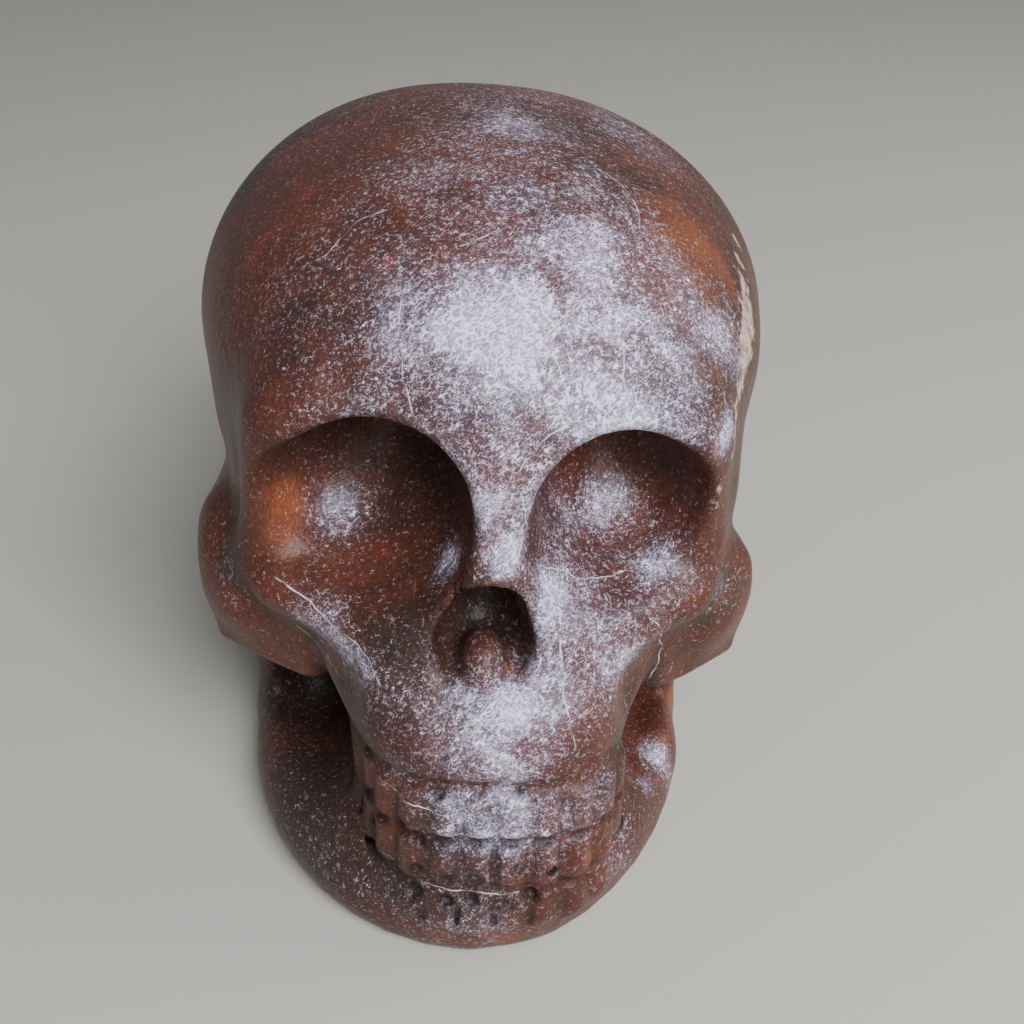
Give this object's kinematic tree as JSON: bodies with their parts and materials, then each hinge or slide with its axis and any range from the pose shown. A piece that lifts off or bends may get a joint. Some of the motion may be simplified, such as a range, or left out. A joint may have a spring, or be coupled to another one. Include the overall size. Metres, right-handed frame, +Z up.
{
  "type": "carved stone skull",
  "caption": "Carved and polished red-brown stone skull of human type, a near life-size ornament standing on its flat underside.",
  "frame": {"origin": "middle of the bounding box, on the flat underside", "axes": "+Z up as it stands, -Y the way the face looks, +X the side with the pale vein, on the viewer's right in the picture"},
  "size_m": [0.1218, 0.1716, 0.1379],
  "materials": {
    "polished_red_stone": "waxy polish under settled pale dust and fine pale fibres, darker red-brown stone with one pale vein"
  },
  "bodies": {
    "root": {"cranium": "polished_red_stone", "face": "polished_red_stone", "left_cheekbone": "polished_red_stone", "right_cheekbone": "polished_red_stone", "lower_jaw": "polished_red_stone"}
  },
  "joints": []
}
